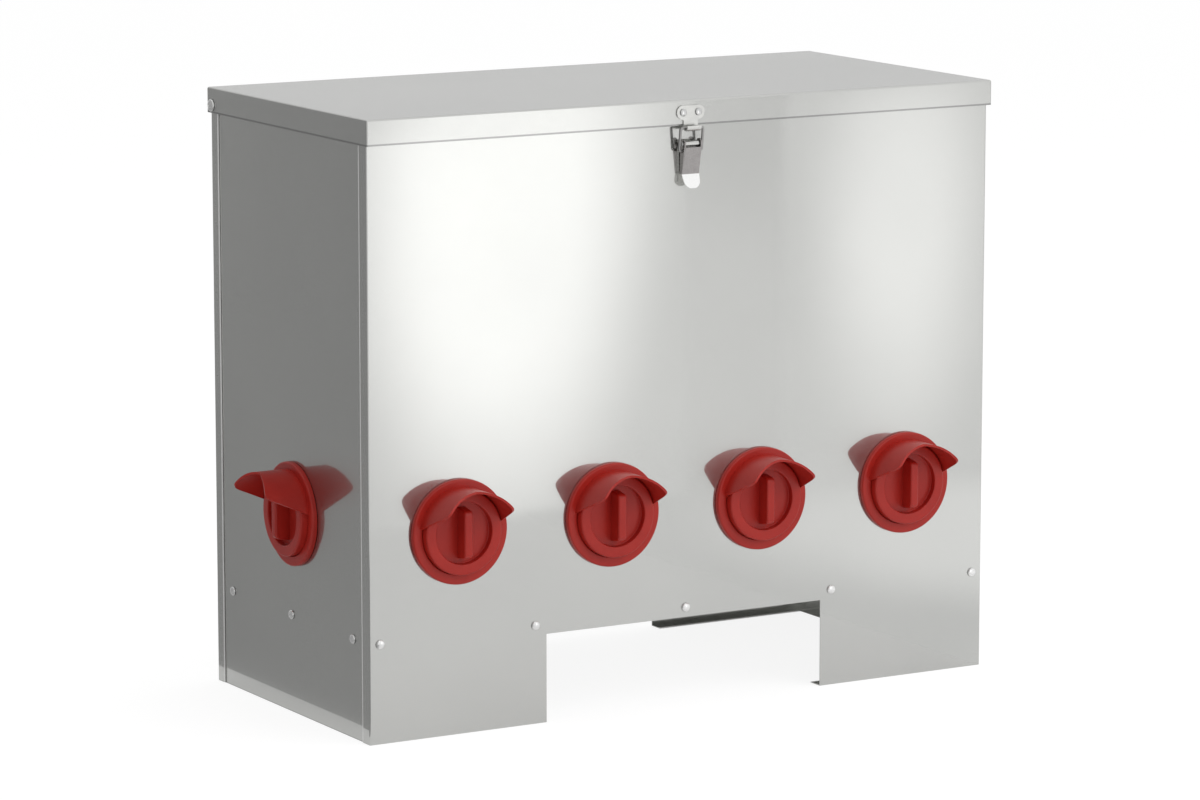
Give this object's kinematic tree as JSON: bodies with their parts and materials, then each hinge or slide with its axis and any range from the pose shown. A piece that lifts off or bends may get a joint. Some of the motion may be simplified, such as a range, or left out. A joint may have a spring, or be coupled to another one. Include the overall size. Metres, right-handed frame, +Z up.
{
  "type": "poultry feeder",
  "caption": "Galvanised sheet hopper on cut-out legs with round red feeding ports under rain visors, plug caps, a hinged lid and a draw latch.",
  "frame": {"origin": "centre of the bounding box at floor level, on the plane of the leg flanges", "axes": "+X along the row of ports, to the right seen from the front; +Y from the front with the ports to the back; +Z up"},
  "size_m": [0.7042, 0.3377, 0.5263],
  "materials": {
    "body_sheet": "bright galvanised sheet with a faint rolled grain",
    "lid_sheet": "bright galvanised sheet with a faint rolled grain",
    "port_plastic": "satin moulded red",
    "cap_plastic": "satin moulded red",
    "ring_nut_plastic": "satin moulded red",
    "seal_rubber": "matt black",
    "latch_steel": "bright zinc plate",
    "fastener_zinc": "bright zinc plate"
  },
  "bodies": {
    "feeder_body": {"front_panel": "body_sheet", "back_panel": "body_sheet", "left_side_panel": "body_sheet", "right_side_panel": "body_sheet", "floor_tray": "body_sheet", "lid_bolt_left": "fastener_zinc", "lid_bolt_right": "fastener_zinc", "lid_nut_left": "fastener_zinc", "lid_nut_right": "fastener_zinc", "latch_base": "latch_steel", "latch_pin": "latch_steel", "base_rivet_1": "fastener_zinc", "base_rivet_2": "fastener_zinc", "port_1_body": "port_plastic", "port_2_body": "port_plastic", "port_3_body": "port_plastic", "port_4_body": "port_plastic", "port_5_body": "port_plastic", "port_6_body": "port_plastic", "port_1_ring_nut": "ring_nut_plastic", "port_2_ring_nut": "ring_nut_plastic", "port_3_ring_nut": "ring_nut_plastic", "port_4_ring_nut": "ring_nut_plastic", "port_5_ring_nut": "ring_nut_plastic", "port_6_ring_nut": "ring_nut_plastic", "tray_screw_front_1": "fastener_zinc", "tray_screw_front_2": "fastener_zinc", "tray_screw_front_3": "fastener_zinc", "tray_screw_front_4": "fastener_zinc", "tray_screw_front_5": "fastener_zinc", "tray_screw_back_1": "fastener_zinc", "tray_screw_back_2": "fastener_zinc", "tray_screw_back_3": "fastener_zinc", "tray_screw_back_4": "fastener_zinc", "tray_screw_back_5": "fastener_zinc", "tray_screw_left_1": "fastener_zinc", "tray_screw_left_2": "fastener_zinc", "tray_screw_left_3": "fastener_zinc", "tray_screw_right_1": "fastener_zinc", "tray_screw_right_2": "fastener_zinc", "tray_screw_right_3": "fastener_zinc"},
    "lid": {"lid": "lid_sheet", "latch_catch": "latch_steel", "catch_rivet_1": "fastener_zinc", "catch_rivet_2": "fastener_zinc"},
    "latch_lever": {"latch_lever": "latch_steel"},
    "latch_bail": {"latch_bail": "latch_steel"},
    "cap_1_seal": {"port_1_seal": "seal_rubber"},
    "cap_1": {"port_1_cap": "cap_plastic"},
    "cap_2_seal": {"port_2_seal": "seal_rubber"},
    "cap_2": {"port_2_cap": "cap_plastic"},
    "cap_3_seal": {"port_3_seal": "seal_rubber"},
    "cap_3": {"port_3_cap": "cap_plastic"},
    "cap_4_seal": {"port_4_seal": "seal_rubber"},
    "cap_4": {"port_4_cap": "cap_plastic"},
    "cap_5_seal": {"port_5_seal": "seal_rubber"},
    "cap_5": {"port_5_cap": "cap_plastic"},
    "cap_6_seal": {"port_6_seal": "seal_rubber"},
    "cap_6": {"port_6_cap": "cap_plastic"}
  },
  "joints": [
    {"name": "lid_hinge", "type": "hinge", "parent": "feeder_body", "child": "lid", "pos_m": [0, 0.15926, 0.511], "axis": [-1, 0, 0], "range_deg": [0, 105]},
    {"name": "lever_swing", "type": "hinge", "parent": "feeder_body", "child": "latch_lever", "pos_m": [0, -0.13054, 0.489], "axis": [-1, 0, 0], "range_deg": [0, 105]},
    {"name": "bail_swing", "type": "hinge", "parent": "latch_lever", "child": "latch_bail", "pos_m": [0, -0.12934, 0.4826], "axis": [-1, 0, 0], "range_deg": [-84, 0]},
    {"name": "cap_1_pull", "type": "slide", "parent": "feeder_body", "child": "cap_1_seal", "axis": [-1, 0, 0], "range_m": [0, 0.065]},
    {"name": "cap_1_turn", "type": "hinge", "parent": "cap_1_seal", "child": "cap_1", "pos_m": [-0.3071, 0.01546, 0.1745], "axis": [-1, 0, 0], "continuous": true},
    {"name": "cap_2_pull", "type": "slide", "parent": "feeder_body", "child": "cap_2_seal", "axis": [0, -1, 0], "range_m": [0, 0.065]},
    {"name": "cap_2_turn", "type": "hinge", "parent": "cap_2_seal", "child": "cap_2", "pos_m": [-0.2235, -0.12384, 0.1745], "axis": [0, -1, 0], "continuous": true},
    {"name": "cap_3_pull", "type": "slide", "parent": "feeder_body", "child": "cap_3_seal", "axis": [0, -1, 0], "range_m": [0, 0.065]},
    {"name": "cap_3_turn", "type": "hinge", "parent": "cap_3_seal", "child": "cap_3", "pos_m": [-0.0745, -0.12384, 0.1745], "axis": [0, -1, 0], "continuous": true},
    {"name": "cap_4_pull", "type": "slide", "parent": "feeder_body", "child": "cap_4_seal", "axis": [0, -1, 0], "range_m": [0, 0.065]},
    {"name": "cap_4_turn", "type": "hinge", "parent": "cap_4_seal", "child": "cap_4", "pos_m": [0.0745, -0.12384, 0.1745], "axis": [0, -1, 0], "continuous": true},
    {"name": "cap_5_pull", "type": "slide", "parent": "feeder_body", "child": "cap_5_seal", "axis": [0, -1, 0], "range_m": [0, 0.065]},
    {"name": "cap_5_turn", "type": "hinge", "parent": "cap_5_seal", "child": "cap_5", "pos_m": [0.2235, -0.12384, 0.1745], "axis": [0, -1, 0], "continuous": true},
    {"name": "cap_6_pull", "type": "slide", "parent": "feeder_body", "child": "cap_6_seal", "axis": [1, 0, 0], "range_m": [0, 0.065]},
    {"name": "cap_6_turn", "type": "hinge", "parent": "cap_6_seal", "child": "cap_6", "pos_m": [0.3071, 0.01546, 0.1745], "axis": [1, 0, 0], "continuous": true}
  ],
  "couplings": [
    {"joint": "bail_swing", "follows": "lever_swing", "ratio": -0.8}
  ]
}
